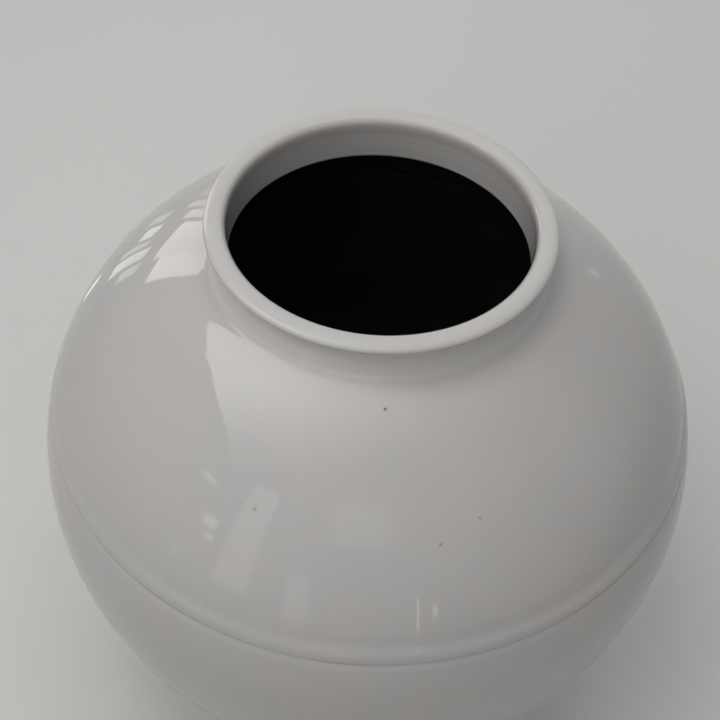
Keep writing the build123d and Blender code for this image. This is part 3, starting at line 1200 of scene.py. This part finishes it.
# Studio: a pale floor and horizon, a large soft window high on the left, panes and fill lamps.
studio = {
    "aim": (-0.094, -0.061, 0.387),         # left of the neck, where the windows mirror
    "floorColour": (0.73, 0.726, 0.713, 1),
    "floorShade": (0.58, 0.577, 0.567, 1),  # its colour in the light that it throws back
    "floorRoughness": 0.9,
    "floorShine": 0.1,
    "floorSize": 24.0,
    "floorBlend": (0.5, 2.4),               # distances at which the floor runs into the horizon
    "horizon": (0.435, 0.433, 0.426, 1),
    "zenith": (0.24, 0.24, 0.24, 1),
    "zenithRise": 0.7,                      # sine of the elevation where the sky is darkest
    "fill": (0.13, 0.13, 0.13, 1),
    "daylight": (1.0, 0.99, 0.97, 1),
    "lowestSill": 0.01,                     # no pane reaches into the floor
    # azimuth in degrees from +Y towards +X, elevation, distance, size and strength
    "lamps": {
        "softLeft": (250.0, 68.0, 2.4, 1.6, 2.5),
        "softTop": (180.0, 88.0, 2.4, 1.8, 1.75),
        "softFront": (190.0, 30.0, 2.4, 1.2, 2.55),
        "softRight": (135.0, 55.0, 2.4, 1.2, 0.6),
        "softBack": (10.0, 8.0, 2.4, 2.0, 1.3),
    },
}

# The high window lies on a level plane above the aim. Its corners are shares of its rise.
highWindow = {
    "rise": 1.6,
    "cornerShares": ((-1.22, 0.45), (-1.2, 0.19), (-1.27, 0.14), (-1.18, 0.0),
                     (-1.19, -0.95), (0.6, -0.95), (0.35, -0.25), (-0.38, -0.10)),
    "strength": 2.6,
    "fadeRight": (0.55, -0.7),
    "fadeFront": (-0.95, -0.1),
    "dim": 0.2,
}

# Upright panes that show only in reflections, at a distance from the aim. Seen from there, each
# has the azimuths of its sides, the elevations of its sill and top, and its strength.
panes = {
    "main": (1.9, (
        (-52.2, -45.0, 3.4, 26.0, 2.6), (-45.0, -34.6, 0.2, 26.0, 2.1), (-33.2, -30.6, -3.0, 26.0, 1.5),
        (-29.6, -27.8, -8.0, 20.0, 1.1), (-26.0, -21.5, -10.0, 16.0, 0.7),
    )),
    "low": (1.02, (
        (-47.0, -44.2, -12.0, -4.6, 1.3), (-42.8, -39.6, -19.0, -6.0, 1.7), (-38.6, -37.0, -19.0, -9.0, 1.1),
        (-36.0, -32.5, -15.0, -10.5, 1.6), (-31.0, -28.5, -19.0, -13.0, 0.9),
    )),
    "near": (0.55, ((-37.8, -36.0, -34.0, -28.5, 1.8),)),
    "room": (1.9, (
        (-151.0, -140.5, -8.0, 34.0, 1.0), (-158.0, -153.5, -4.0, 44.0, 0.4),
        (-169.0, -162.0, -11.0, 7.0, 1.0), (-194.0, -173.0, 21.0, 37.0, 0.7),
        (-136.8, -133.6, 4.4, 7.2, 1.7), (-135.8, -131.0, 9.6, 13.2, 1.7),
        (-128.0, -122.0, 22.9, 24.7, 1.8), (-128.7, -126.2, -8.2, -6.0, 1.5),
        (-200.6, -200.0, -16.0, 2.0, 2.6), (-205.5, -204.2, -6.0, -1.5, 2.0),
        (86.0, 106.0, -6.0, 26.0, 0.5), (44.0, 46.0, -1.0, 3.0, 0.9),
    )),
}


def lightPathSwitch(tree):
    # one where the ray comes from the camera, or shows the room in a shiny or clear surface
    path = addNode(tree, "ShaderNodeLightPath").outputs
    seen = plus(tree, path["Is Camera Ray"], path["Is Glossy Ray"])
    return maths(tree, "ADD", seen, path["Is Transmission Ray"], clamp=True)


def makeFloor():
    # near the jar a lit floor with its shadow, far away the pale horizon
    work = bmesh.new()
    bmesh.ops.create_grid(work, x_segments=2, y_segments=2, size=studio["floorSize"] / 2)
    mesh = bpy.data.meshes.new("paleFloor")
    work.to_mesh(mesh)
    work.free()
    material, tree, shader, place = newMaterial("paleFloor")
    seen = lightPathSwitch(tree)
    tone = mixColour(tree, seen, studio["floorShade"], studio["floorColour"])
    wire(tree, tone, shader.inputs["Base Color"])
    shader.inputs["Roughness"].default_value = studio["floorRoughness"]
    shader.inputs["Specular IOR Level"].default_value = studio["floorShine"]
    far = times(tree, ramp(tree, vectorMaths(tree, "LENGTH", place), *studio["floorBlend"]), seen)
    glow = addNode(tree, "ShaderNodeEmission", {"Color": studio["horizon"], "Strength": 1.0}).outputs[0]
    joined = addNode(tree, "ShaderNodeMixShader", {0: far, 1: shader.outputs[0], 2: glow}).outputs[0]
    wire(tree, joined, tree.nodes["Material Output"].inputs[0])
    mesh.materials.append(material)
    floor = addObject("paleFloor", mesh)


def makeWorld():
    scene.world = bpy.data.worlds.new("studioWorld")
    tree, surface = emptyTree(scene.world, "ShaderNodeOutputWorld")
    rise = axesOf(tree, addNode(tree, "ShaderNodeTexCoord").outputs["Generated"])[2]
    sky = mixColour(tree, ramp(tree, rise, 0.0, studio["zenithRise"]), studio["horizon"], studio["zenith"])
    tone = mixColour(tree, lightPathSwitch(tree), studio["fill"], sky)
    wire(tree, addNode(tree, "ShaderNodeBackground", {"Color": tone, "Strength": 1.0}).outputs[0], surface)


def facing(azimuth, elevation=0.0):
    across = cos(radians(elevation))
    return Vector((sin(radians(azimuth)) * across, cos(radians(azimuth)) * across, sin(radians(elevation))))


def softPanel(name, corners, strength, fades=(), dim=0.0, mirroredOnly=False):
    # A flat glowing panel, unseen by the camera. Each fade is an axis and where the glow is least and full.
    mesh = bpy.data.meshes.new(name)
    mesh.from_pydata([tuple(c) for c in corners], [], [list(range(len(corners)))])
    material = bpy.data.materials.new(name)
    tree, surface = emptyTree(material)
    axes = axesOf(tree, addNode(tree, "ShaderNodeTexCoord").outputs["Object"])
    for axis, least, full in fades:
        strength = times(tree, strength, ramp(tree, axes[axis], least, full, dim, 1.0))
    lit = addNode(tree, "ShaderNodeEmission", {"Color": studio["daylight"], "Strength": strength})
    wire(tree, lit.outputs[0], surface)
    mesh.materials.append(material)
    panel = addObject(name, mesh)
    panel.visible_camera = False
    panel.visible_diffuse = not mirroredOnly


def makeHighWindow():
    aim, rise = Vector(studio["aim"]), highWindow["rise"]
    corners = [aim + rise * Vector((x, y, 1)) for x, y in highWindow["cornerShares"]]
    fades = [(axis, *(aim[axis] + rise * share for share in highWindow[fade]))
             for axis, fade in enumerate(("fadeRight", "fadeFront"))]
    softPanel("highWindow", corners, highWindow["strength"], fades, highWindow["dim"])


def makePanes(group, reach, shapes):
    aim = Vector(studio["aim"])
    for i, (start, end, low, high, strength) in enumerate(shapes):
        bottom = max(studio["lowestSill"], aim.z + reach * tan(radians(low)))
        top = aim.z + reach * tan(radians(high))
        left, right = (aim + reach * facing(azimuth) for azimuth in (start, end))
        corners = [(p.x, p.y, z) for p, z in ((left, bottom), (right, bottom), (right, top), (left, top))]
        softPanel(group + "Pane" + str(i), corners, strength, mirroredOnly=True)


def makeLamp(name, azimuth, elevation, distance, size, strength):
    lamp = bpy.data.lights.new(name, "AREA")
    lamp.size = size
    lamp.energy = strength * pi * size ** 2
    made = addObject(name, lamp)
    aside = facing(azimuth, elevation)
    made.location = Vector(studio["aim"]) + distance * aside
    made.rotation_euler = (-aside).to_track_quat("-Z", "Y").to_euler()
    made.visible_camera = False
    made.visible_glossy = False


makeFloor()
makeWorld()
makeHighWindow()
for group, (reach, shapes) in panes.items():
    makePanes(group, reach, shapes)
for name, lamp in studio["lamps"].items():
    makeLamp(name, *lamp)
scene.view_settings.view_transform = "Standard"
print("studio lit")
